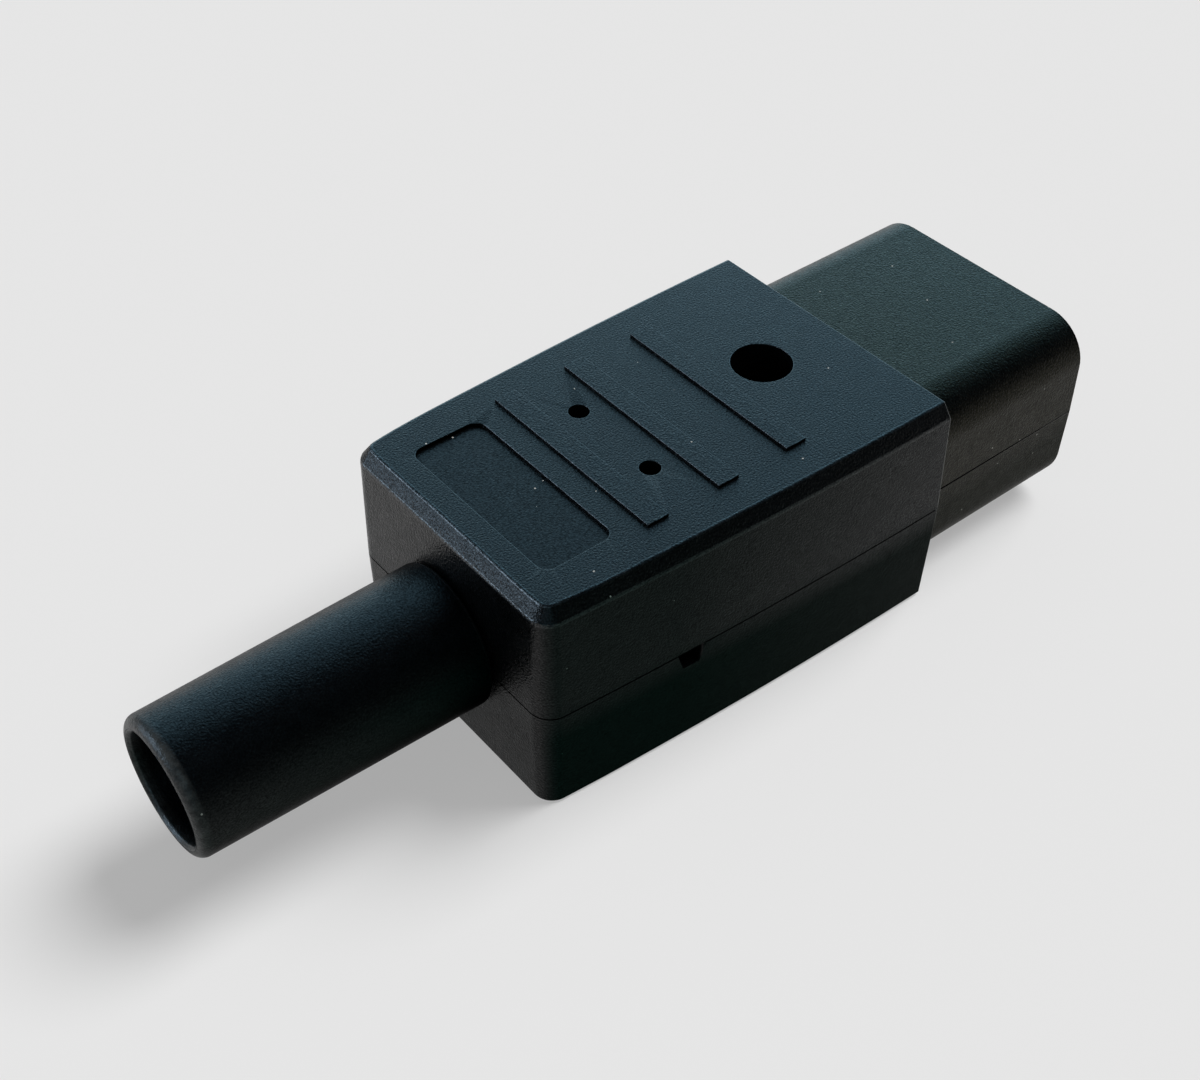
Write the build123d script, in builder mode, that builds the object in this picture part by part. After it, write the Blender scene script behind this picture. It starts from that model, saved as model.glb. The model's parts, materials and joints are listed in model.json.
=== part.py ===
# In-line rewireable appliance socket, sizes in millimetres.
# +X points to the mating nose and +Z up. z = 0 is the underside, x = 0 halfway from boot tip to nose face.

import math
import os

from build123d import *

os.makedirs("parts", exist_ok=True)

# Housing, outside
BODY_LENGTH = 46.2
BODY_FRONT_WIDTH = 32.0
BODY_REAR_WIDTH = 28.2
BODY_HEIGHT = 24.0
PARTING_HEIGHT = 11.55
DRAFT = 1.2
REAR_CORNER_RADIUS = 2.2
HOLLOW_CORNER_RADIUS = 1.0
TOP_CHAMFER_RUN = 1.0
TOP_CHAMFER_DROP = 1.4
BOTTOM_CHAMFER = 0.35

# Mating nose
NOSE_LENGTH = 21.9
NOSE_WIDTH = 28.4
NOSE_HEIGHT = 20.2
NOSE_CORNER_RADIUS = 4.6
NOSE_FRONT_CHAMFER = 0.3

# Walls and fits
SIDE_WALL = 2.2
TOP_WALL = 2.4
NOSE_WALL = 1.9
FIT_GAP = 0.1
LOOSE_GAP = 0.3
TONGUE_INSET = 0.8
TONGUE_THICKNESS = 0.6
TONGUE_HEIGHT = 0.8

# Grip ribs, label recess, holes and notch in the outside
RIB_COUNT = 3
RIB_PITCH = 8.0
RIB_WIDTH = 2.3
RIB_SPAN = 21.6
RIB_HEIGHT = 0.35
RIB_START = 14.9
RECESS_START = 3.7
RECESS_LENGTH = 7.4
RECESS_WIDTH = 19.4
RECESS_DEPTH = 0.4
RECESS_CORNER = 1.2
POST_HOLE_DIAMETER = 1.95
POST_HOLE_PITCH = 10.0
POST_DIAMETER = 4.0
SCREW_DISTANCE = 36.8
SCREW_ACCESS_DIAMETER = 5.9
NOTCH_DISTANCE = 15.6
NOTCH_WIDTH = 3.2
NOTCH_ROOT_WIDTH = 1.8
NOTCH_HEIGHT = 2.0
NOTCH_DEPTH = 1.2

# Cable boot
BOOT_LENGTH = 28.4
BOOT_ROOT_DIAMETER = 14.1
BOOT_TIP_DIAMETER = 13.2
BOOT_TIP_RADIUS = 1.0
BOOT_MOUTH_CHAMFER = 0.3
BOOT_BORE = 9.2
BOOT_MOUTH_DIAMETER = 10.6
BOOT_MOUTH_DEPTH = 2.4
BOOT_NECK_DIAMETER = 12.2
BOOT_FLANGE_DIAMETER = 16.6
BOOT_FLANGE_THICKNESS = 2.0
BOOT_RIB_THICKNESS = 1.6

# Cord clamp and the saddle under it
CABLE_DIAMETER = 8.8
CLAMP_DISTANCE = 13.2
CLAMP_LENGTH = 6.6
CLAMP_THICKNESS = 2.4
CLAMP_ARCH_WALL = 1.9
CLAMP_SPAN = 22.4
CLAMP_CORNER_RADIUS = 1.5
CLAMP_SCREW_PITCH = 16.6
CLAMP_SCREW_DIAMETER = 2.5
CLAMP_HEAD_DIAMETER = 4.8
CLAMP_HEAD_HEIGHT = 1.7
CLAMP_SCREW_LENGTH = 9.0
CLAMP_POST_DIAMETER = 5.2
CLAMP_SEAT = 0.6
SADDLE_RIB_THICKNESS = 1.4
SADDLE_SIDE = 2.2

# Contact carrier, contacts and their springs
BLADE_WIDTH = 8.0
BLADE_THICKNESS = 2.0
BLADE_GAP = 0.3
LIVE_PITCH = 13.0
ROW_PITCH = 8.0
SHEET = 0.6
FOLD_SHARE = 0.8
CONTACT_LENGTH = 15.0
SPRING_SHEET = 0.3
SPRING_LENGTH = 7.0
CARRIER_FACE = 2.4
CARRIER_SETBACK = 0.6
SLOT_CLEARANCE = 0.3
COLLAR_DISTANCE = 4.0
COLLAR_LENGTH = 2.0
COLLAR_HEIGHT = 0.8
STRIP_BEND_RADIUS = 0.6
STRIP_WIDTH = 4.0
STRIP_SPACING = 17.2

# Screw terminals
CAGE_LENGTH = 4.5
CAGE_SIDE = 0.9
CAGE_TOP = 1.9
CAGE_HEIGHT = 8.0
CAGE_ROUND = 0.4
LIVE_CAGE_DISTANCE = 35.6
TERMINAL_SCREW_DIAMETER = 2.9
TERMINAL_HEAD_DIAMETER = 4.8
TERMINAL_HEAD_HEIGHT = 1.7
TERMINAL_SCREW_LENGTH = 4.6
TERMINAL_HEAD_LIFT = 0.8
DIVIDER_THICKNESS = 1.0
DIVIDER_LENGTH = 15.0

# Housing screw and nut
SCREW_DIAMETER = 3.0
SCREW_LENGTH = 12.5
SCREW_HEAD_DIAMETER = 5.4
SCREW_HEAD_HEIGHT = 2.0
SCREW_SEAT = 2.2
BOSS_DIAMETER = 7.6
NUT_ACROSS_FLATS = 5.5
NUT_HEIGHT = 2.4
NUT_COVER = 0.6
DRIVE_WIDTH = 0.7
DRIVE_SHARE = 0.6
DRIVE_DEPTH = 1.0
HEAD_EDGE_SHARE = 0.35

# Places along X, from the overall length
overall_length = BOOT_LENGTH + BODY_LENGTH + NOSE_LENGTH
tip_x = -overall_length / 2
rear_x = tip_x + BOOT_LENGTH
shoulder_x = rear_x + BODY_LENGTH
face_x = shoulder_x + NOSE_LENGTH
hollow_end_x = shoulder_x - SIDE_WALL
screw_x = rear_x + SCREW_DISTANCE
clamp_x = rear_x + CLAMP_DISTANCE
live_cage_x = rear_x + LIVE_CAGE_DISTANCE
carrier_rear_x = shoulder_x + CARRIER_SETBACK
contact_front_x = face_x - CARRIER_FACE - FIT_GAP
rib_centre_x = rear_x + RIB_START + RIB_PITCH * (RIB_COUNT - 1) / 2
post_x = rear_x + RIB_START + RIB_PITCH / 2
flange_x = rear_x + SIDE_WALL + FIT_GAP
boot_rib_x = flange_x + BOOT_FLANGE_THICKNESS + FIT_GAP

# Heights
parting_z = PARTING_HEIGHT
floor_z = TOP_WALL
ceiling_z = BODY_HEIGHT - TOP_WALL
live_z = parting_z - ROW_PITCH / 2
earth_z = parting_z + ROW_PITCH / 2
draft_slope = math.tan(math.radians(DRAFT))
wall_lean = draft_slope * BODY_HEIGHT

# Contact sizes, the same for all three
half_gap = FIT_GAP / 2
leaf_gap = BLADE_THICKNESS + FIT_GAP
contact_height = leaf_gap + 2 * SHEET
contact_width = BLADE_WIDTH + BLADE_GAP + SHEET
pocket_height = contact_height + 2 * (SPRING_SHEET + FIT_GAP)
pocket_width = contact_width + SPRING_SHEET + 2 * FIT_GAP
contact_rear_x = contact_front_x - CONTACT_LENGTH
strip_z = live_z - (contact_height - SHEET) / 2
strip_y = STRIP_SPACING / 2

# Terminals and the housing screw
cage_floor_z = strip_z - SHEET / 2 - FIT_GAP - CAGE_SIDE
cage_top_z = cage_floor_z + CAGE_HEIGHT
cage_width = STRIP_WIDTH + 2 * (FIT_GAP + CAGE_SIDE)
earth_cage_x = screw_x + BOSS_DIAMETER / 2 + LOOSE_GAP + CAGE_LENGTH / 2
earth_drop_x = (earth_cage_x + CAGE_LENGTH / 2 + carrier_rear_x) / 2
divider_y = (strip_y - cage_width / 2 + BOSS_DIAMETER / 2) / 2
screw_seat_z = parting_z + SCREW_SEAT
clamp_seat_z = parting_z + CLAMP_SEAT
clamp_top_z = clamp_seat_z + CLAMP_THICKNESS
nut_top_z = NUT_COVER + NUT_HEIGHT


def body_half_width(x):
    """Half of the body's width at the parting plane, at a place along X."""
    narrowing = (BODY_FRONT_WIDTH - BODY_REAR_WIDTH) / 2
    return BODY_FRONT_WIDTH / 2 - narrowing * ((shoulder_x - x) / BODY_LENGTH) ** 2


def body_plan(inset, corner):
    """Plan of the body at the parting plane, moved in by inset: curved sides and rounded rear corners."""
    front = BODY_FRONT_WIDTH / 2
    rear = BODY_REAR_WIDTH / 2
    middle_x = (rear_x + shoulder_x) / 2
    middle = body_half_width(middle_x)
    with BuildSketch(Plane.XY.offset(parting_z), mode=Mode.PRIVATE) as plan:
        with BuildLine():
            Line((rear_x, rear), (rear_x, -rear))
            ThreePointArc((rear_x, -rear), (middle_x, -middle), (shoulder_x, -front))
            Line((shoulder_x, -front), (shoulder_x, front))
            ThreePointArc((shoulder_x, front), (middle_x, middle), (rear_x, rear))
        make_face()
        if inset:
            offset(amount=-inset, kind=Kind.INTERSECTION)
        fillet(plan.vertices().group_by(Axis.X)[0], radius=corner)
    return plan.sketch


def drafted_body(inset, corner, height):
    """Half of the body, up or down from the parting plane, its walls leaning in by the draft."""
    lean = abs(height) * draft_slope
    with BuildPart() as block:
        add(body_plan(inset, corner))
        add(Pos(0, 0, height) * body_plan(inset + lean, corner - lean))
        loft(ruled=True)
    return block.part


def nose_section(x, inset):
    """Cross-section of the nose at a place along X, drafted from the parting plane and moved in by inset."""
    half = NOSE_WIDTH / 2
    rise = NOSE_HEIGHT / 2
    narrow = half - rise * draft_slope
    with BuildSketch(Plane.YZ.offset(x), mode=Mode.PRIVATE) as section:
        with Locations((0, parting_z)):
            Polygon(
                (half, 0), (narrow, rise), (-narrow, rise),
                (-half, 0), (-narrow, -rise), (narrow, -rise),
                align=None,
            )
        corners = section.vertices().group_by(Axis.Z)
        fillet(corners[0] + corners[-1], radius=NOSE_CORNER_RADIUS)
        if inset:
            offset(amount=-inset)
    return section.sketch


def tongue_ring(gap):
    """Plan of the tongue that locates the two halves, widened by gap on each side; open at boot and nose."""
    outside = TONGUE_INSET - gap
    inside = TONGUE_INSET + TONGUE_THICKNESS + gap
    with BuildSketch(Plane.XY.offset(parting_z), mode=Mode.PRIVATE) as ring:
        add(body_plan(outside, REAR_CORNER_RADIUS - outside))
        add(body_plan(inside, REAR_CORNER_RADIUS - inside), mode=Mode.SUBTRACT)
        with Locations((hollow_end_x + gap, 0)):
            Rectangle(SIDE_WALL, BODY_FRONT_WIDTH, align=(Align.MIN, Align.CENTER), mode=Mode.SUBTRACT)
        with Locations((rear_x, 0)):
            Rectangle(2 * SIDE_WALL, BOOT_FLANGE_DIAMETER + 2 * LOOSE_GAP - 2 * gap, mode=Mode.SUBTRACT)
    return ring.sketch


def disc(diameter, x, y, z):
    """Round sketch on a level plane."""
    with BuildSketch(Plane.XY.offset(z), mode=Mode.PRIVATE) as circle:
        with Locations((x, y)):
            Circle(diameter / 2)
    return circle.sketch


def cross_disc(diameter, x):
    """Round sketch across the cable's axis."""
    with BuildSketch(Plane.YZ.offset(x), mode=Mode.PRIVATE) as circle:
        with Locations((0, parting_z)):
            Circle(diameter / 2)
    return circle.sketch


def boot_rib_section(low_z, high_z):
    """Rib that holds the boot's flange from inside, with an opening for the cable."""
    with BuildSketch(Plane.YZ.offset(boot_rib_x), mode=Mode.PRIVATE) as rib:
        with Locations((0, (low_z + high_z) / 2)):
            Rectangle(BODY_REAR_WIDTH - SIDE_WALL, high_z - low_z)
        with Locations((0, parting_z)):
            Circle(BOOT_BORE / 2 + LOOSE_GAP, mode=Mode.SUBTRACT)
    return rib.sketch


def cut_boot_seat():
    """Cuts the neck hole through the rear wall and the seat of the boot's flange behind it."""
    neck_start_x = rear_x - FIT_GAP
    extrude(cross_disc(BOOT_NECK_DIAMETER + 2 * FIT_GAP, neck_start_x), amount=boot_rib_x - neck_start_x,
            mode=Mode.SUBTRACT)
    seat_x = rear_x + SIDE_WALL
    extrude(cross_disc(BOOT_FLANGE_DIAMETER + 2 * FIT_GAP, seat_x), amount=boot_rib_x - seat_x,
            mode=Mode.SUBTRACT)


def cut_nose_bore():
    """Cuts the space for the contact carrier, and the groove for its collar, through the nose."""
    start_x = hollow_end_x - wall_lean
    extrude(nose_section(start_x, NOSE_WALL), amount=face_x - start_x, mode=Mode.SUBTRACT)
    collar_x = shoulder_x + COLLAR_DISTANCE - FIT_GAP
    extrude(nose_section(collar_x, NOSE_WALL - COLLAR_HEIGHT - FIT_GAP), amount=COLLAR_LENGTH + 2 * FIT_GAP,
            mode=Mode.SUBTRACT)


def notch_outline(y):
    """Outline of the pry notch under the parting line, on an upright plane at a place along Y."""
    top = NOTCH_WIDTH / 2
    root = NOTCH_ROOT_WIDTH / 2
    with BuildSketch(Plane.XZ.offset(-y), mode=Mode.PRIVATE) as notch:
        with Locations((rear_x + NOTCH_DISTANCE, parting_z)):
            Polygon((top, 0), (-top, 0), (-root, -NOTCH_HEIGHT), (root, -NOTCH_HEIGHT), align=None)
    return notch.sketch


def save(piece, name):
    """Labels a finished piece and writes it to its own file."""
    piece.part.label = name
    export_step(piece.part, f"parts/{name}.step")


# Construction blocks: the nose, the drafted halves of the body, and the hollows inside them
with BuildPart() as nose_block:
    extrude(nose_section(hollow_end_x, 0), amount=NOSE_LENGTH + SIDE_WALL)
    chamfer(nose_block.faces().sort_by(Axis.X)[-1].edges(), length=NOSE_FRONT_CHAMFER)

upper_hollow = drafted_body(SIDE_WALL, HOLLOW_CORNER_RADIUS, ceiling_z - parting_z)
lower_hollow = drafted_body(SIDE_WALL, HOLLOW_CORNER_RADIUS, floor_z - parting_z)
upper_form = drafted_body(0, REAR_CORNER_RADIUS, BODY_HEIGHT - parting_z)
lower_form = drafted_body(0, REAR_CORNER_RADIUS, -parting_z)

with BuildPart() as upper_block:
    add(upper_form)
    top_face = upper_block.faces().sort_by(Axis.Z)[-1]
    chamfer(top_face.edges().sort_by(Axis.X)[:-1], length=TOP_CHAMFER_RUN, length2=TOP_CHAMFER_DROP,
            reference=top_face)

with BuildPart() as lower_block:
    add(lower_form)
    chamfer(lower_block.faces().sort_by(Axis.Z)[0].edges().sort_by(Axis.X)[:-1], length=BOTTOM_CHAMFER)

# Upper housing: drafted shell with chamfered top, grip ribs, label recess, screw well and two hollow posts
with BuildPart() as upper_housing:
    add(nose_block.part)
    split(bisect_by=Plane.XY.offset(parting_z), keep=Keep.TOP)
    add(upper_block.part)
    add(upper_hollow, mode=Mode.SUBTRACT)
    extrude(boot_rib_section(parting_z, ceiling_z), amount=BOOT_RIB_THICKNESS)
    extrude(disc(BOSS_DIAMETER, screw_x, 0, parting_z), amount=ceiling_z - parting_z)
    for side in (-1, 1):
        post_y = side * POST_HOLE_PITCH / 2
        post_end_z = parting_z + LOOSE_GAP
        extrude(disc(POST_DIAMETER, post_x, post_y, post_end_z), amount=ceiling_z - post_end_z)
        extrude(disc(POST_HOLE_DIAMETER, post_x, post_y, post_end_z + TOP_WALL), amount=BODY_HEIGHT,
                mode=Mode.SUBTRACT)
    extrude(disc(SCREW_ACCESS_DIAMETER, screw_x, 0, screw_seat_z), amount=BODY_HEIGHT, mode=Mode.SUBTRACT)
    extrude(disc(SCREW_DIAMETER + 2 * FIT_GAP, screw_x, 0, parting_z), amount=BODY_HEIGHT, mode=Mode.SUBTRACT)
    cut_boot_seat()
    cut_nose_bore()
    extrude(tongue_ring(FIT_GAP), amount=TONGUE_HEIGHT + FIT_GAP, mode=Mode.SUBTRACT)
    with BuildSketch(Plane.XY.offset(BODY_HEIGHT)):
        with Locations((rib_centre_x, 0)):
            with GridLocations(RIB_PITCH, RIB_SPAN, RIB_COUNT, 1):
                Rectangle(RIB_WIDTH, RIB_SPAN)
    extrude(amount=RIB_HEIGHT)
    with BuildSketch(Plane.XY.offset(BODY_HEIGHT)):
        with Locations((rear_x + RECESS_START + RECESS_LENGTH / 2, 0)):
            RectangleRounded(RECESS_LENGTH, RECESS_WIDTH, RECESS_CORNER)
    extrude(amount=-RECESS_DEPTH, mode=Mode.SUBTRACT)

# Lower housing: shell with cable saddle, clamp posts, terminal beds, dividers, nut boss and pry notches
with BuildPart() as lower_housing:
    add(nose_block.part)
    split(bisect_by=Plane.XY.offset(parting_z), keep=Keep.BOTTOM)
    add(lower_block.part)
    add(lower_hollow, mode=Mode.SUBTRACT)
    extrude(boot_rib_section(floor_z, parting_z), amount=BOOT_RIB_THICKNESS)
    extrude(disc(BOSS_DIAMETER, screw_x, 0, floor_z), amount=parting_z - floor_z)
    for step in (-1, 1):
        rib_x = clamp_x + step * (CLAMP_LENGTH - SADDLE_RIB_THICKNESS) / 2
        with BuildSketch(Plane.YZ.offset(rib_x - SADDLE_RIB_THICKNESS / 2)):
            with Locations((0, (floor_z + parting_z) / 2)):
                Rectangle(CABLE_DIAMETER + 2 * SADDLE_SIDE, parting_z - floor_z)
            with Locations((0, parting_z)):
                Circle(CABLE_DIAMETER / 2, mode=Mode.SUBTRACT)
        extrude(amount=SADDLE_RIB_THICKNESS)
    for side in (-1, 1):
        clamp_y = side * CLAMP_SCREW_PITCH / 2
        extrude(disc(CLAMP_POST_DIAMETER, clamp_x, clamp_y, floor_z), amount=clamp_seat_z - floor_z)
        extrude(disc(CLAMP_SCREW_DIAMETER + 2 * half_gap, clamp_x, clamp_y, floor_z + LOOSE_GAP),
                amount=BODY_HEIGHT, mode=Mode.SUBTRACT)
    with BuildSketch(Plane.XY.offset(floor_z)):
        with Locations((live_cage_x, 0)):
            with GridLocations(DIVIDER_LENGTH, 2 * divider_y, 1, 2):
                Rectangle(DIVIDER_LENGTH, DIVIDER_THICKNESS)
    extrude(amount=parting_z - floor_z)
    with BuildSketch(Plane.XY.offset(floor_z)):
        with Locations((live_cage_x, -strip_y), (live_cage_x, strip_y), (earth_cage_x, 0)):
            Rectangle(CAGE_LENGTH, cage_width)
    extrude(amount=cage_floor_z - floor_z)
    extrude(disc(SCREW_DIAMETER + 2 * FIT_GAP, screw_x, 0, 0), amount=parting_z, mode=Mode.SUBTRACT)
    with BuildSketch(Plane.XY):
        with Locations((screw_x, 0)):
            RegularPolygon(NUT_ACROSS_FLATS / 2 + half_gap, 6, major_radius=False)
    extrude(amount=nut_top_z, mode=Mode.SUBTRACT)
    cut_boot_seat()
    cut_nose_bore()
    notch_y = body_half_width(rear_x + NOTCH_DISTANCE) - NOTCH_DEPTH
    extrude(notch_outline(-notch_y), amount=BODY_FRONT_WIDTH, mode=Mode.SUBTRACT)
    extrude(notch_outline(notch_y), amount=-BODY_FRONT_WIDTH, mode=Mode.SUBTRACT)
    extrude(tongue_ring(0), amount=TONGUE_HEIGHT)

save(upper_housing, "upper_housing")
save(lower_housing, "lower_housing")

# Cable boot: tapered tube with a stepped mouth, a neck through the rear wall and a flange behind it
with BuildPart() as cable_boot:
    with BuildSketch(Plane.XZ):
        with BuildLine():
            Polyline(
                (tip_x, parting_z + BOOT_MOUTH_DIAMETER / 2),
                (tip_x, parting_z + BOOT_TIP_DIAMETER / 2),
                (rear_x - FIT_GAP, parting_z + BOOT_ROOT_DIAMETER / 2),
                (rear_x - FIT_GAP, parting_z + BOOT_NECK_DIAMETER / 2),
                (flange_x, parting_z + BOOT_NECK_DIAMETER / 2),
                (flange_x, parting_z + BOOT_FLANGE_DIAMETER / 2),
                (flange_x + BOOT_FLANGE_THICKNESS, parting_z + BOOT_FLANGE_DIAMETER / 2),
                (flange_x + BOOT_FLANGE_THICKNESS, parting_z + BOOT_BORE / 2),
                (tip_x + BOOT_MOUTH_DEPTH, parting_z + BOOT_BORE / 2),
                (tip_x + BOOT_MOUTH_DEPTH, parting_z + BOOT_MOUTH_DIAMETER / 2),
                close=True,
            )
        make_face()
    revolve(axis=Axis((0, 0, parting_z), (1, 0, 0)))
    rim = cable_boot.edges().filter_by(GeomType.CIRCLE).group_by(Axis.X)[0].sort_by(SortBy.RADIUS)
    fillet(rim[-1], radius=BOOT_TIP_RADIUS)
    mouth = cable_boot.edges().filter_by(GeomType.CIRCLE).group_by(Axis.X)[0].sort_by(SortBy.RADIUS)
    chamfer(mouth[0], length=BOOT_MOUTH_CHAMFER)
save(cable_boot, "cable_boot")

# Cord clamp: bar with two feet and an arch that presses the cable onto the saddle
with BuildPart() as cord_clamp:
    with BuildSketch(Plane.YZ.offset(clamp_x - CLAMP_LENGTH / 2)):
        with Locations((0, parting_z)):
            Circle(CABLE_DIAMETER / 2 + CLAMP_ARCH_WALL)
        with Locations((0, clamp_seat_z)):
            Rectangle(CLAMP_SPAN, CLAMP_THICKNESS, align=(Align.CENTER, Align.MIN))
            Rectangle(CLAMP_SPAN, BODY_HEIGHT, align=(Align.CENTER, Align.MAX), mode=Mode.SUBTRACT)
        with Locations((0, parting_z)):
            Circle(CABLE_DIAMETER / 2, mode=Mode.SUBTRACT)
    extrude(amount=CLAMP_LENGTH)
    fillet(cord_clamp.edges().filter_by(Axis.Z).group_by(Axis.Y)[0], radius=CLAMP_CORNER_RADIUS)
    fillet(cord_clamp.edges().filter_by(Axis.Z).group_by(Axis.Y)[-1], radius=CLAMP_CORNER_RADIUS)
    for side in (-1, 1):
        extrude(disc(CLAMP_SCREW_DIAMETER + 2 * LOOSE_GAP, clamp_x, side * CLAMP_SCREW_PITCH / 2, 0),
                amount=BODY_HEIGHT, mode=Mode.SUBTRACT)
save(cord_clamp, "cord_clamp")


def cross_recess(width, top_z, x, y, reach):
    """Cuts a cross for a driver down into the head of a screw."""
    with BuildSketch(Plane.XY.offset(top_z), mode=Mode.PRIVATE) as cross:
        with Locations((x, y)):
            Rectangle(reach, width)
            Rectangle(width, reach)
    extrude(cross.sketch, amount=-DRIVE_DEPTH, mode=Mode.SUBTRACT)


def make_screw(shank, length, head, head_height, x, y, seat_z):
    """Upright screw with a cross recess in its chamfered head, which is seated at a height."""
    with BuildPart() as screw:
        extrude(disc(shank, x, y, seat_z - length), amount=length)
        extrude(disc(head, x, y, seat_z), amount=head_height)
        chamfer(screw.edges().sort_by(Axis.Z)[-1], length=head_height * HEAD_EDGE_SHARE)
        cross_recess(DRIVE_WIDTH, seat_z + head_height, x, y, head * DRIVE_SHARE)
    return screw


for side, name in ((-1, "clamp_screw_right"), (1, "clamp_screw_left")):
    save(
        make_screw(CLAMP_SCREW_DIAMETER, CLAMP_SCREW_LENGTH, CLAMP_HEAD_DIAMETER, CLAMP_HEAD_HEIGHT,
                   clamp_x, side * CLAMP_SCREW_PITCH / 2, clamp_top_z),
        name,
    )
save(
    make_screw(SCREW_DIAMETER, SCREW_LENGTH, SCREW_HEAD_DIAMETER, SCREW_HEAD_HEIGHT,
               screw_x, 0, screw_seat_z),
    "housing_screw",
)

# Hexagon nut held in the pocket under the boss
with BuildPart() as housing_nut:
    with BuildSketch(Plane.XY.offset(NUT_COVER)):
        with Locations((screw_x, 0)):
            RegularPolygon(NUT_ACROSS_FLATS / 2, 6, major_radius=False)
            Circle(SCREW_DIAMETER / 2 + half_gap, mode=Mode.SUBTRACT)
    extrude(amount=NUT_HEIGHT)
save(housing_nut, "housing_nut")

# The three poles: name, centre of the blade across and up, side of the folded edge, strip and cage places
POLES = (
    ("line", LIVE_PITCH / 2, live_z, 1, strip_y, live_cage_x),
    ("neutral", -LIVE_PITCH / 2, live_z, -1, -strip_y, live_cage_x),
    ("earth", 0, earth_z, 1, 0, earth_cage_x),
)

# Contact carrier: insulating block in the nose, with a slot and a pocket for each pole and a collar
with BuildPart() as contact_carrier:
    extrude(nose_section(carrier_rear_x, NOSE_WALL + FIT_GAP), amount=face_x - carrier_rear_x)
    extrude(nose_section(shoulder_x + COLLAR_DISTANCE, NOSE_WALL - COLLAR_HEIGHT), amount=COLLAR_LENGTH)
    for _, blade_y, blade_z, fold, _, _ in POLES:
        with BuildSketch(Plane.YZ.offset(carrier_rear_x)):
            with Locations((blade_y - fold * (SHEET + SPRING_SHEET) / 2, blade_z)):
                Rectangle(pocket_width, pocket_height)
        extrude(amount=face_x - CARRIER_FACE - carrier_rear_x, mode=Mode.SUBTRACT)
        with BuildSketch(Plane.YZ.offset(face_x)):
            with Locations((blade_y, blade_z)):
                Rectangle(BLADE_WIDTH + 2 * SLOT_CLEARANCE, BLADE_THICKNESS + 2 * SLOT_CLEARANCE)
        extrude(amount=-CARRIER_FACE, mode=Mode.SUBTRACT)
save(contact_carrier, "contact_carrier")


def folded_section(x, centre_y, centre_z, fold, width, height, sheet):
    """C-shaped section of a folded sheet, open away from the fold."""
    with BuildSketch(Plane.YZ.offset(x), mode=Mode.PRIVATE) as section:
        with Locations((centre_y, centre_z)):
            Rectangle(width, height)
        outside = section.vertices().group_by(Axis.Y)[0 if fold > 0 else -1]
        fillet(outside, radius=sheet * FOLD_SHARE)
        with Locations((centre_y + fold * sheet, centre_z)):
            Rectangle(width, height - 2 * sheet, mode=Mode.SUBTRACT)
    return section.sketch


for name, blade_y, blade_z, fold, tail_y, cage_x in POLES:
    contact_y = blade_y - fold * SHEET / 2
    leaf_z = blade_z - (contact_height - SHEET) / 2
    tail_end_x = cage_x - CAGE_LENGTH / 2 + FIT_GAP

    # Contact: folded receptacle for the blade, and a strip from its lower leaf to the screw terminal
    with BuildPart() as contact:
        extrude(
            folded_section(contact_rear_x, contact_y, blade_z, fold, contact_width, contact_height, SHEET),
            amount=CONTACT_LENGTH,
        )
        with BuildSketch(Plane.XZ.offset(-tail_y)):
            with BuildLine():
                if leaf_z > strip_z:
                    FilletPolyline(
                        (contact_rear_x, leaf_z), (earth_drop_x, leaf_z), (earth_drop_x, strip_z),
                        (tail_end_x, strip_z), radius=STRIP_BEND_RADIUS,
                    )
                else:
                    Line((contact_rear_x, leaf_z), (tail_end_x, leaf_z))
            trace(line_width=SHEET)
        extrude(amount=STRIP_WIDTH / 2, both=True)
    save(contact, f"{name}_contact")

    # Spring clip: steel sheet folded round the receptacle to press its leaves together
    with BuildPart() as spring:
        extrude(
            folded_section(
                (contact_rear_x + contact_front_x - SPRING_LENGTH) / 2,
                contact_y - fold * (half_gap + SPRING_SHEET / 2), blade_z, fold,
                contact_width + SPRING_SHEET + half_gap, contact_height + 2 * (half_gap + SPRING_SHEET),
                SPRING_SHEET,
            ),
            amount=SPRING_LENGTH,
        )
    save(spring, f"{name}_spring")

    # Terminal cage: brass block with a window for strip and wire, and a tapped hole for its screw
    with BuildPart() as cage:
        with BuildSketch(Plane.YZ.offset(cage_x - CAGE_LENGTH / 2)):
            with Locations((tail_y, cage_floor_z)):
                Rectangle(cage_width, CAGE_HEIGHT, align=(Align.CENTER, Align.MIN))
            with Locations((tail_y, cage_floor_z + CAGE_SIDE)):
                Rectangle(cage_width - 2 * CAGE_SIDE, CAGE_HEIGHT - CAGE_SIDE - CAGE_TOP,
                          align=(Align.CENTER, Align.MIN), mode=Mode.SUBTRACT)
        extrude(amount=CAGE_LENGTH)
        fillet(cage.edges().filter_by(Axis.X).sort_by(Axis.Z)[-2:], radius=CAGE_ROUND)
        extrude(disc(TERMINAL_SCREW_DIAMETER + 2 * half_gap, cage_x, tail_y, cage_top_z - CAGE_TOP - FIT_GAP),
                amount=CAGE_HEIGHT, mode=Mode.SUBTRACT)
    save(cage, f"{name}_terminal")
    save(
        make_screw(TERMINAL_SCREW_DIAMETER, TERMINAL_SCREW_LENGTH, TERMINAL_HEAD_DIAMETER,
                   TERMINAL_HEAD_HEIGHT, cage_x, tail_y, cage_top_z + TERMINAL_HEAD_LIFT),
        f"{name}_terminal_screw",
    )
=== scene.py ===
import json
import math

import bmesh
import bpy
from mathutils import Matrix, Vector


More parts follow.
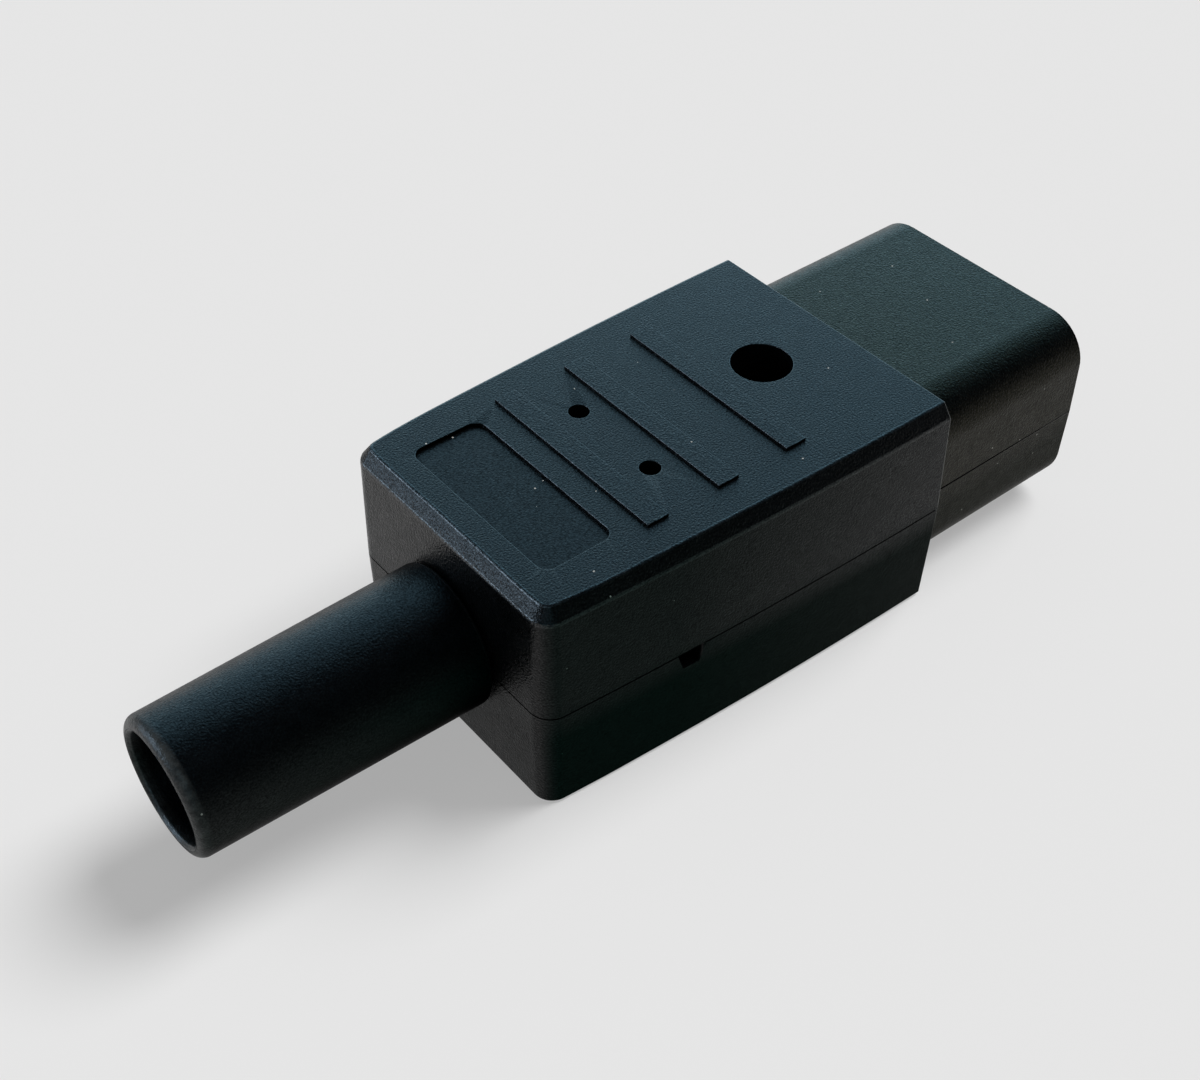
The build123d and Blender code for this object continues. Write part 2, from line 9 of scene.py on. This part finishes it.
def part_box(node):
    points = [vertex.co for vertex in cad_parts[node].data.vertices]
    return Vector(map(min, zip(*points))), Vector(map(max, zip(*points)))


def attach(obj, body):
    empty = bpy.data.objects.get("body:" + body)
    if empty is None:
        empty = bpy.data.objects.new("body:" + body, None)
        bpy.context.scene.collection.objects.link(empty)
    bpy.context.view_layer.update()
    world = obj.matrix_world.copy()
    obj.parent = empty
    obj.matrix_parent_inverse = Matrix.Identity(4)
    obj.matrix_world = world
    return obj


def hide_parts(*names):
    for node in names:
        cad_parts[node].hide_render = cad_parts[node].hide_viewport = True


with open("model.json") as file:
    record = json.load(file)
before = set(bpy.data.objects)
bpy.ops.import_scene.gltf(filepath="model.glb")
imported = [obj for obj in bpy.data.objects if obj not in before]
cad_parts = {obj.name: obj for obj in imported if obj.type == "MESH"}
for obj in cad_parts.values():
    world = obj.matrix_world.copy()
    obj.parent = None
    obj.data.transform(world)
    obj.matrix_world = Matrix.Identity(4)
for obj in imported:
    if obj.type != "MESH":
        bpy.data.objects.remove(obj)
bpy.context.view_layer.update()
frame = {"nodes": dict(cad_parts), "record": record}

MM = 0.001

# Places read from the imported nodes, in metres
upper_low, upper_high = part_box("upper_housing")
BOOT_TIP_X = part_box("cable_boot")[0].x
REAR_X = upper_low.x
PARTING_Z = upper_low.z
RIB_TOP_Z = upper_high.z

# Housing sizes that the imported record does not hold, in metres and degrees
BODY_LENGTH = 46.2 * MM
RIB_HEIGHT = 0.35 * MM
RECESS_DEPTH = 0.4 * MM
RECESS_HALF_WIDTH = 9.6 * MM
RECESS_END = 11.0 * MM
CHAMFER_DROP = 1.4 * MM
DRAFT = 1.2
TOP_Z = RIB_TOP_Z - RIB_HEIGHT
SHOULDER_X = REAR_X + BODY_LENGTH
NEAR = 0.03 * MM

# Camera: place, aim and lens worked out from the photograph's perspective
CAMERA_PLACE = (-74.911 * MM, -88.919 * MM, 120.136 * MM)
CAMERA_HEADING = 50.702
CAMERA_PITCH = -43.127
CAMERA_ROLL = 0.439
LENS = 50.693
SENSOR = 36.0
SHIFT_X = -0.0023
SHIFT_Y = -0.0009
CLIP_START = 0.001

# Rounded edges: half widths beyond which an edge is an outer one, then the radius of each kind
OUTSIDE_REAR = 12.45 * MM
OUTSIDE_FRONT = 14.35 * MM
OUTSIDE_NOSE = 14.1 * MM
TOP_REAR_REACH = 2.0 * MM
SIDE_REAR_REACH = 1.0 * MM
RIB_RADIUS = 0.07 * MM
HOLE_RADIUS = 0.08 * MM
PARTING_RADIUS = 0.09 * MM
SHOULDER_RADIUS = 0.15 * MM
CHAMFER_RADIUS = 0.2 * MM
MOUTH_REACH = 3.0 * MM
MOUTH_RADIUS = 0.1 * MM
ROOT_GAP = 0.1 * MM
ROOT_RADIUS = 0.35 * MM
MERGE_DISTANCE = 0.0005 * MM
SHARP_ANGLE = 25.0
BEVEL_SEGMENTS = 3

# Noise values lie mostly between these two
NOISE_LOW = 0.3
NOISE_HIGH = 0.7

# Plastic: mottled colour and uneven roughness, rougher on the side walls
# Each noise: scale, detail and roughness
MOTTLE = (450.0, 4.0, 0.6)
MOTTLE_RANGE = (0.35, 0.65, 0.0, 1.0)
UNEVEN = (900.0, 3.0)
SMOOTHER = 0.04
ROUGHER = 0.05
SIDE_ROUGHER = 0.12

# Grain as bump, and speckle as uneven gloss
GRAIN_DETAIL = 1.0
GRAIN_ROUGHNESS = 0.6
COARSE_SCALE = 0.35
COARSE_GRAIN = 0.05
SPECKLE = 0.16 * MM
SPECKLE_SHARE = 0.5
WHITE = (1.0, 1.0, 1.0)
NOSE_TINT = (1.0, 0.86, 0.45)
RECESS_GLOSS = 0.75
RECESS_GRAIN = 0.6

# How far a face must turn to count as a side wall or as upright
SIDE_FACING = (0.45, 0.95, 0.0, 1.0)
UPRIGHT_FACING = (0.2, 0.5, 1.0, 0.0)

# Painted shade, laid on as a dark coat film: two places along the part and its share at each, so the side
# walls grow darker towards the rear and the boot towards its root, then its share low on end and side walls,
# where shade falls near the floor
HOUSING_PAINTED_SHADE = (REAR_X + 0.3 * BODY_LENGTH, SHOULDER_X, 0.75, 0.15)
BOOT_PAINTED_SHADE = (BOOT_TIP_X, REAR_X, 0.4, 0.98)
LOW_SHADE_SHARE = (0.18, 0.75)
LOW_SHADE_RANGE = (PARTING_Z - 3.0 * MM, PARTING_Z + 1.0 * MM, 1.0, 0.0)
NOSE_SHADE_SHARE = 0.5
PAINTED_SHADE_TINT = (0.02, 0.3, 0.25)

# Patchy lighter line on the shoulder's edge, painted light on the boot's rim, and the dark line where the
# shells meet
PATCHES = (1500.0, 3.0)
PATCH_RANGE = (0.35, 0.6, 0.4, 1.0)
SHOULDER_LINE_COLOUR = (0.15, 0.16, 0.155)
SHOULDER_LINE_REACH = 0.35 * MM
# Painted light: the boot's rim is lighter near its tip, as if lit
RIM_PAINTED_LIGHT = (0.055, 0.06, 0.06)
RIM_RANGE = (BOOT_TIP_X + 0.2 * MM, BOOT_TIP_X + 1.2 * MM, 1.0, 0.0)
SEAM_RANGE = (0.15 * MM, 0.2 * MM, 0.0, 1.0)

# Dust specks
DUST_SCALE = 500.0
DUST_SIZE = 0.045
DUST_COLOUR = (0.35, 0.35, 0.33)

# Metal: colour drift, uneven roughness and tool marks
DRIFT = (800.0, 4.0)
HANDLED = (2500.0, 3.0)
POLISHED = 0.06
DULLED = 0.08
MARKS_SCALE = 6000.0

# Floor: its size, its lit colour, its plain colour and the share of the shadow that stays
FLOOR_SIZE = 4.0
FLOOR_COLOUR = (0.80, 0.80, 0.80)
BACKGROUND = (0.799, 0.799, 0.799)
SHADOW_SHARE = 0.53

# Lamps for the floor and the dust, which nothing mirrors: direction, spread in degrees and strength
FLOOR_LAMPS = (
    ("top_light", (0.56, -0.1, 0.82), 34.0, 3.15),
    ("fill_light", (0.0, 0.0, 1.0), 120.0, 0.47),
)

# Room that the gloss mirrors: dark, with a wide bluish screen behind the object, a faint warm glow low at
# its side, a small window to the left and a soft screen on the near side for views from the front.
# Each light: direction, cosines where it is full and where it ends, and its radiance
ROOM_DARK = (0.012, 0.014, 0.02)
ROOM_LIGHTS = (
    ((0.5675, 0.6764, 0.4695), 0.99, 0.50, (0.84, 1.62, 2.15)),
    ((0.49, 0.85, 0.10), 0.98, 0.80, (0.35, 0.25, 0.1)),
    ((-0.78, 0.57, 0.26), 0.988, 0.91, (4.6, 6.2, 7.8)),
    ((-0.58, -0.58, 0.57), 0.97, 0.82, (0.5, 0.8, 1.0)),
)


def new_material(name):
    """Empty node material and its surface shader."""
    material = bpy.data.materials.new(name)
    material.use_nodes = True
    nodes = material.node_tree.nodes
    nodes.clear()
    output = nodes.new("ShaderNodeOutputMaterial")
    shader = nodes.new("ShaderNodeBsdfPrincipled")
    material.node_tree.links.new(shader.outputs["BSDF"], output.inputs["Surface"])
    return material, shader


class Nodes:
    """Short way to add and join shader nodes."""

    def __init__(self, tree, place="Object"):
        self.tree = tree
        where = tree.nodes.new("ShaderNodeTexCoord")
        self.place = where.outputs[place]
        self.facing = where.outputs["Normal"]

    def join(self, source, target):
        """Link an output to an input."""
        self.tree.links.new(source, target)

    def noise(self, scale, detail=2.0, roughness=0.5):
        """Smooth noise through the solid."""
        node = self.tree.nodes.new("ShaderNodeTexNoise")
        node.inputs["Scale"].default_value = scale
        node.inputs["Detail"].default_value = detail
        node.inputs["Roughness"].default_value = roughness
        self.join(self.place, node.inputs["Vector"])
        return node.outputs["Fac"]

    def cells(self, scale, output="Distance"):
        """Scattered points: the distance to the nearest, or its own colour."""
        node = self.tree.nodes.new("ShaderNodeTexVoronoi")
        node.inputs["Scale"].default_value = scale
        self.join(self.place, node.inputs["Vector"])
        return node.outputs[output]

    def remap(self, value, from_low, from_high, to_low, to_high, smooth=False):
        """One range of values turned into another and held at its ends."""
        node = self.tree.nodes.new("ShaderNodeMapRange")
        if smooth:
            node.interpolation_type = "SMOOTHSTEP"
        numbers = {"From Min": from_low, "From Max": from_high, "To Min": to_low, "To Max": to_high}
        for name, number in numbers.items():
            node.inputs[name].default_value = number
        self.join(value, node.inputs["Value"])
        return node.outputs["Result"]

    def spread(self, noise, low, high):
        """Noise whose usual values run from low to high."""
        return self.remap(self.noise(*noise), NOISE_LOW, NOISE_HIGH, low, high)

    def maths(self, operation, first, second=0.0):
        """One sum, with numbers or outputs."""
        node = self.tree.nodes.new("ShaderNodeMath")
        node.operation = operation
        for socket, value in zip(node.inputs, (first, second)):
            if isinstance(value, (int, float)):
                socket.default_value = value
            else:
                self.join(value, socket)
        return node.outputs["Value"]

    def product(self, first, *others):
        """All the values multiplied."""
        for other in others:
            first = self.maths("MULTIPLY", first, other)
        return first

    def less(self, share):
        """What a share leaves of one."""
        return self.maths("SUBTRACT", 1.0, share)

    def away(self, value, place=0.0):
        """Distance from a place."""
        return self.maths("ABSOLUTE", self.maths("SUBTRACT", value, place))

    def within(self, value, place, reach):
        """One within reach of a place, zero elsewhere."""
        return self.maths("LESS_THAN", self.away(value, place), reach)

    def along(self, direction):
        """How nearly the place's own direction points along a given one, from -1 to 1."""
        node = self.tree.nodes.new("ShaderNodeVectorMath")
        node.operation = "DOT_PRODUCT"
        self.join(self.place, node.inputs[0])
        node.inputs[1].default_value = direction
        return node.outputs["Value"]

    def part(self, vector, axis):
        """One axis of a vector."""
        node = self.tree.nodes.new("ShaderNodeSeparateXYZ")
        self.join(vector, node.inputs[0])
        return node.outputs[axis]

    def mix(self, factor, first, second):
        """Two colours mixed by a factor."""
        node = self.tree.nodes.new("ShaderNodeMix")
        node.data_type = "RGBA"
        self.join(factor, node.inputs["Factor"])
        colours = [socket for socket in node.inputs if socket.type == "RGBA"]
        for socket, value in zip(colours, (first, second)):
            if isinstance(value, tuple):
                socket.default_value = (*value, 1.0)
            else:
                self.join(value, socket)
        return next(socket for socket in node.outputs if socket.type == "RGBA")

    def bump(self, height, distance):
        """Surface normal bent by a height."""
        node = self.tree.nodes.new("ShaderNodeBump")
        node.inputs["Strength"].default_value = 1.0
        node.inputs["Distance"].default_value = distance
        self.join(height, node.inputs["Height"])
        return node.outputs["Normal"]


def moulded_plastic(name, dark, light, roughness, grain, grain_depth, gloss=0.17, dust=0.0, recess=False,
                    edge=False, rim=False, painted_shade=HOUSING_PAINTED_SHADE):
    """Black moulded plastic: grain, speckle, mottling, painted shade as a dark film on upright walls, a
    patchy lighter line on the shoulder's edge, painted light on the boot's rim and specks of dust.
    """
    material, shader = new_material(name)
    n = Nodes(material.node_tree)
    x, y, z = (n.part(n.place, axis) for axis in "XYZ")
    side = n.remap(n.away(n.part(n.facing, "Y")), *SIDE_FACING)
    upright = n.remap(n.away(n.part(n.facing, "Z")), *UPRIGHT_FACING)
    nose = n.maths("GREATER_THAN", x, SHOULDER_X)

    colour = n.mix(n.remap(n.noise(*MOTTLE), *MOTTLE_RANGE), dark, light)
    if dust:
        near_speck = n.maths("LESS_THAN", n.cells(DUST_SCALE), DUST_SIZE)
        chosen = n.maths("GREATER_THAN", n.cells(DUST_SCALE, "Color"), 1.0 - dust)
        colour = n.mix(n.product(near_speck, chosen), colour, DUST_COLOUR)

    # Painted shade: a dark coat film on the side walls, heavier towards the rear (on the boot towards its
    # root), and low on upright walls near the floor
    side_shade = n.product(side, n.remap(x, *painted_shade))
    low_shade_share = n.product(n.remap(side, 0.0, 1.0, *LOW_SHADE_SHARE), n.remap(nose, 0.0, 1.0, 1.0, NOSE_SHADE_SHARE))
    low_shade = n.product(upright, n.remap(z, *LOW_SHADE_RANGE), low_shade_share)
    n.join(n.less(n.product(n.less(side_shade), n.less(low_shade))), shader.inputs["Coat Weight"])
    shader.inputs["Coat IOR"].default_value = 1.0
    shader.inputs["Coat Tint"].default_value = (*PAINTED_SHADE_TINT, 1.0)

    speckle = n.spread((1 / SPECKLE, GRAIN_DETAIL), 1.0 - SPECKLE_SHARE, 1.0 + SPECKLE_SHARE)
    gloss = n.product(speckle, gloss)
    depth = 1.0
    if recess:
        level = n.within(z, TOP_Z - RECESS_DEPTH, NEAR)
        behind = n.maths("LESS_THAN", x, REAR_X + RECESS_END)
        floor = n.product(level, n.within(y, 0.0, RECESS_HALF_WIDTH), behind)
        gloss = n.product(gloss, n.remap(floor, 0.0, 1.0, 1.0, RECESS_GLOSS))
        depth = n.remap(floor, 0.0, 1.0, 1.0, RECESS_GRAIN)
    if edge:
        gloss = n.product(gloss, n.remap(n.away(z, PARTING_Z), *SEAM_RANGE))
        # A lighter colour in patches along the shoulder's edge
        patchy = n.remap(n.noise(*PATCHES), *PATCH_RANGE)
        colour = n.mix(n.product(n.within(x, SHOULDER_X, SHOULDER_LINE_REACH), patchy), colour, SHOULDER_LINE_COLOUR)
    if rim:
        # Painted light on the boot's rim near its tip, in patches
        patchy = n.remap(n.noise(*PATCHES), *PATCH_RANGE)
        colour = n.mix(n.product(n.remap(x, *RIM_RANGE), patchy), colour, RIM_PAINTED_LIGHT)

    uneven = n.spread(UNEVEN, roughness - SMOOTHER, roughness + ROUGHER)
    n.join(n.maths("ADD", uneven, n.product(side, SIDE_ROUGHER)), shader.inputs["Roughness"])
    n.join(gloss, shader.inputs["Specular IOR Level"])
    n.join(n.mix(nose, WHITE, NOSE_TINT), shader.inputs["Specular Tint"])
    n.join(colour, shader.inputs["Base Color"])
    fine = n.noise(1 / grain, GRAIN_DETAIL, GRAIN_ROUGHNESS)
    coarse = n.noise(COARSE_SCALE / grain)
    height = n.maths("ADD", fine, n.product(coarse, COARSE_GRAIN))
    n.join(n.bump(n.product(height, depth), grain_depth), shader.inputs["Normal"])
    return material


def metal(name, dark, light, roughness, brushed):
    """Worked metal: colour drift and fine tool marks."""
    material, shader = new_material(name)
    n = Nodes(material.node_tree)
    n.join(n.mix(n.spread(DRIFT, 0.0, 1.0), dark, light), shader.inputs["Base Color"])
    n.join(n.spread(HANDLED, roughness - POLISHED, roughness + DULLED), shader.inputs["Roughness"])
    n.join(n.bump(n.noise(MARKS_SCALE), brushed), shader.inputs["Normal"])
    shader.inputs["Metallic"].default_value = 1.0
    return material


HOUSING = moulded_plastic(
    "housing_plastic_look", (0.0007, 0.0009, 0.0011), (0.0013, 0.0015, 0.0017),
    roughness=0.30, grain=0.2 * MM, grain_depth=0.075 * MM, dust=0.4, recess=True)
# Rounded edges: glossier, and lighter in colour, which partly paints the highlights on them
HOUSING_EDGE = moulded_plastic(
    "housing_edge_look", (0.001, 0.0012, 0.0014), (0.003, 0.0032, 0.0034),
    roughness=0.30, grain=0.2 * MM, grain_depth=0.05 * MM, gloss=0.5, edge=True)
BOOT = moulded_plastic(
    "boot_plastic_look", (0.0006, 0.0007, 0.0009), (0.0011, 0.0012, 0.0014),
    roughness=0.32, grain=0.2 * MM, grain_depth=0.05 * MM, dust=0.2, rim=True, painted_shade=BOOT_PAINTED_SHADE)
# Boot's rounded edges: a much lighter colour, painted light on the rim and mouth, and glossier
BOOT_EDGE = moulded_plastic(
    "boot_edge_look", (0.004, 0.0042, 0.0044), (0.012, 0.0125, 0.012),
    roughness=0.34, grain=0.2 * MM, grain_depth=0.05 * MM, gloss=0.4, rim=True, painted_shade=BOOT_PAINTED_SHADE)
CARRIER = moulded_plastic(
    "carrier_plastic_look", (0.001, 0.0011, 0.0013), (0.0016, 0.0018, 0.002),
    roughness=0.32, grain=0.22 * MM, grain_depth=0.06 * MM, dust=0.2)
CLAMP = moulded_plastic(
    "clamp_plastic_look", (0.008, 0.008, 0.009), (0.012, 0.012, 0.013),
    roughness=0.4, grain=0.25 * MM, grain_depth=0.01 * MM)
CONTACT = metal("contact_brass_look", (0.6, 0.43, 0.2), (0.78, 0.6, 0.32), roughness=0.3, brushed=0.003 * MM)
TERMINAL = metal(
    "terminal_brass_look", (0.55, 0.4, 0.19), (0.72, 0.56, 0.3), roughness=0.36, brushed=0.004 * MM)
SPRING = metal("spring_steel_look", (0.4, 0.4, 0.41), (0.55, 0.55, 0.56), roughness=0.3, brushed=0.002 * MM)
SCREW = metal("screw_steel_look", (0.48, 0.48, 0.49), (0.66, 0.66, 0.67), roughness=0.3, brushed=0.003 * MM)

LOOKS = {
    "housing_plastic": HOUSING, "boot_plastic": BOOT, "carrier_plastic": CARRIER, "clamp_plastic": CLAMP,
    "contact_brass": CONTACT, "terminal_brass": TERMINAL, "spring_steel": SPRING, "screw_steel": SCREW,
}
EDGE_LOOKS = {"housing_plastic": HOUSING_EDGE, "boot_plastic": BOOT_EDGE}


def shell_edge_radius(middle, convex):
    """Rounding of a housing edge by where it lies; zero leaves the edge sharp."""
    if not convex:
        return 0.0
    x, y, z = middle
    outside_y = abs(y) > OUTSIDE_REAR + (OUTSIDE_FRONT - OUTSIDE_REAR) * (x - REAR_X) / BODY_LENGTH
    if x > SHOULDER_X:
        outside_y = abs(y) > OUTSIDE_NOSE
    shoulder = SHOULDER_X - abs(z - PARTING_Z) * math.tan(math.radians(DRAFT))
    on_shoulder = abs(x - shoulder) < NEAR
    if z > RIB_TOP_Z - NEAR:
        return RIB_RADIUS
    if abs(z - TOP_Z) < NEAR:
        if on_shoulder:
            return SHOULDER_RADIUS
        return CHAMFER_RADIUS if outside_y or x < REAR_X + TOP_REAR_REACH else HOLE_RADIUS
    if abs(z - (TOP_Z - CHAMFER_DROP)) < NEAR and (outside_y or x < REAR_X + SIDE_REAR_REACH):
        return CHAMFER_RADIUS
    if on_shoulder and (outside_y or z > TOP_Z - CHAMFER_DROP or z < NEAR):
        return SHOULDER_RADIUS
    if abs(z - PARTING_Z) < NEAR and (outside_y or x < REAR_X + NEAR):
        return PARTING_RADIUS
    return 0.0


def boot_edge_radius(middle, convex):
    """Rounding of the boot's edges: root rim, mouth and the step inside it."""
    if not convex:
        return 0.0
    if middle.x < BOOT_TIP_X + MOUTH_REACH:
        return MOUTH_RADIUS
    if abs(middle.x - (REAR_X - ROOT_GAP)) < NEAR:
        return ROOT_RADIUS
    return 0.0


def refined(node, name, slot, edge_radius, widest):
    """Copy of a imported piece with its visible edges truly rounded, which stands for it."""
    mesh = frame["nodes"][node].data.copy()
    shape = bmesh.new()
    shape.from_mesh(mesh)
    bmesh.ops.remove_doubles(shape, verts=shape.verts, dist=MERGE_DISTANCE)
    layer = shape.edges.layers.float.new("bevel_weight_edge")
    for edge in shape.edges:
        edge.smooth = True
        if len(edge.link_faces) != 2:
            continue
        if math.degrees(edge.calc_face_angle()) < SHARP_ANGLE:
            continue
        radius = edge_radius((edge.verts[0].co + edge.verts[1].co) / 2, edge.is_convex)
        edge[layer] = radius / widest
        edge.smooth = radius > 0
    for face in shape.faces:
        face.smooth = True
    shape.to_mesh(mesh)
    shape.free()
    for attribute in ("custom_normal", "sharp_face"):
        if attribute in mesh.attributes:
            mesh.attributes.remove(mesh.attributes[attribute])
    mesh.materials.clear()
    mesh.materials.append(LOOKS[slot])
    mesh.materials.append(EDGE_LOOKS[slot])
    piece = bpy.data.objects.new(name, mesh)
    bpy.context.scene.collection.objects.link(piece)
    bevel = piece.modifiers.new("edges", "BEVEL")
    bevel.limit_method = "WEIGHT"
    bevel.width = widest
    bevel.segments = BEVEL_SEGMENTS
    bevel.use_clamp_overlap = False
    bevel.material = 1
    bevel.loop_slide = False
    bevel.miter_outer = "MITER_ARC"
    flat = piece.modifiers.new("faces", "WEIGHTED_NORMAL")
    flat.keep_sharp = True
    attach(piece, "root")
    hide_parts(node)


for subpart in frame["record"]["subparts"]:
    materials = frame["nodes"][subpart["node"]].data.materials
    materials.clear()
    materials.append(LOOKS[subpart["material_slot"]])

refined("upper_housing", "upper_shell", "housing_plastic", shell_edge_radius, CHAMFER_RADIUS)
refined("lower_housing", "lower_shell", "housing_plastic", shell_edge_radius, CHAMFER_RADIUS)
refined("cable_boot", "boot_sleeve", "boot_plastic", boot_edge_radius, ROOT_RADIUS)


def floor_material():
    """Matt pale floor: its lit self mixed with its plain colour, as the eye and mirrors see it."""
    material = bpy.data.materials.new("floor_look")
    material.use_nodes = True
    tree = material.node_tree
    tree.nodes.clear()
    output = tree.nodes.new("ShaderNodeOutputMaterial")
    matt = tree.nodes.new("ShaderNodeBsdfDiffuse")
    matt.inputs["Color"].default_value = (*FLOOR_COLOUR, 1.0)
    plain = tree.nodes.new("ShaderNodeEmission")
    plain.inputs["Color"].default_value = (*BACKGROUND, 1.0)
    ray = tree.nodes.new("ShaderNodeLightPath")
    mix = tree.nodes.new("ShaderNodeMixShader")
    n = Nodes(tree)
    mirrored = n.maths("MAXIMUM", ray.outputs["Is Glossy Ray"], ray.outputs["Is Transmission Ray"])
    seen = n.maths("MAXIMUM", ray.outputs["Is Camera Ray"], mirrored)
    n.join(n.product(seen, 1.0 - SHADOW_SHARE), mix.inputs["Fac"])
    n.join(matt.outputs["BSDF"], mix.inputs[1])
    n.join(plain.outputs["Emission"], mix.inputs[2])
    n.join(mix.outputs["Shader"], output.inputs["Surface"])
    return material


def make_floor():
    """Flat square under the object, centred on it."""
    mesh = bpy.data.meshes.new("floor")
    half = FLOOR_SIZE / 2
    corners = [(-half, -half, 0), (half, -half, 0), (half, half, 0), (-half, half, 0)]
    mesh.from_pydata(corners, [], [(0, 1, 2, 3)])
    mesh.materials.append(floor_material())
    floor = bpy.data.objects.new("floor", mesh)
    bpy.context.scene.collection.objects.link(floor)


def make_lamp(name, towards, spread, strength):
    """Distant lamp that lights from a direction and isn't mirrored."""
    lamp = bpy.data.lights.new(name, "SUN")
    lamp.energy = strength
    lamp.angle = math.radians(spread)
    holder = bpy.data.objects.new(name, lamp)
    holder.rotation_euler = Vector(towards).to_track_quat("Z", "Y").to_euler()
    holder.visible_glossy = False
    bpy.context.scene.collection.objects.link(holder)


def make_room():
    """Surroundings as light sources set by direction."""
    world = bpy.data.worlds.new("room")
    bpy.context.scene.world = world
    world.use_nodes = True
    tree = world.node_tree
    tree.nodes.clear()
    output = tree.nodes.new("ShaderNodeOutputWorld")
    n = Nodes(tree, "Generated")
    shader = tree.nodes.new("ShaderNodeBackground")
    shader.inputs["Color"].default_value = (*ROOM_DARK, 1.0)
    total = shader.outputs["Background"]
    for direction, full, end, radiance in ROOM_LIGHTS:
        light = tree.nodes.new("ShaderNodeBackground")
        light.inputs["Color"].default_value = (*radiance, 1.0)
        n.join(n.remap(n.along(direction), end, full, 0.0, 1.0, smooth=True), light.inputs["Strength"])
        both = tree.nodes.new("ShaderNodeAddShader")
        n.join(total, both.inputs[0])
        n.join(light.outputs["Background"], both.inputs[1])
        total = both.outputs["Shader"]
    n.join(total, output.inputs["Surface"])
    world.cycles_visibility.diffuse = False


def make_camera():
    """Camera at the photograph's angle."""
    heading = math.radians(CAMERA_HEADING)
    pitch = math.radians(CAMERA_PITCH)
    level = math.cos(pitch)
    forward = Vector((math.cos(heading) * level, math.sin(heading) * level, math.sin(pitch)))
    roll = Matrix.Rotation(math.radians(CAMERA_ROLL), 3, "Z")
    turn = forward.to_track_quat("-Z", "Y").to_matrix() @ roll
    lens = bpy.data.cameras.new("camera")
    lens.lens = LENS
    lens.sensor_width = SENSOR
    lens.shift_x = SHIFT_X
    lens.shift_y = SHIFT_Y
    lens.clip_start = CLIP_START
    camera = bpy.data.objects.new("camera", lens)
    camera.matrix_world = Matrix.Translation(CAMERA_PLACE) @ turn.to_4x4()
    bpy.context.scene.collection.objects.link(camera)
    bpy.context.scene.camera = camera


make_floor()
for settings in FLOOR_LAMPS:
    make_lamp(*settings)
make_room()
make_camera()
bpy.context.scene.view_settings.view_transform = "Standard"
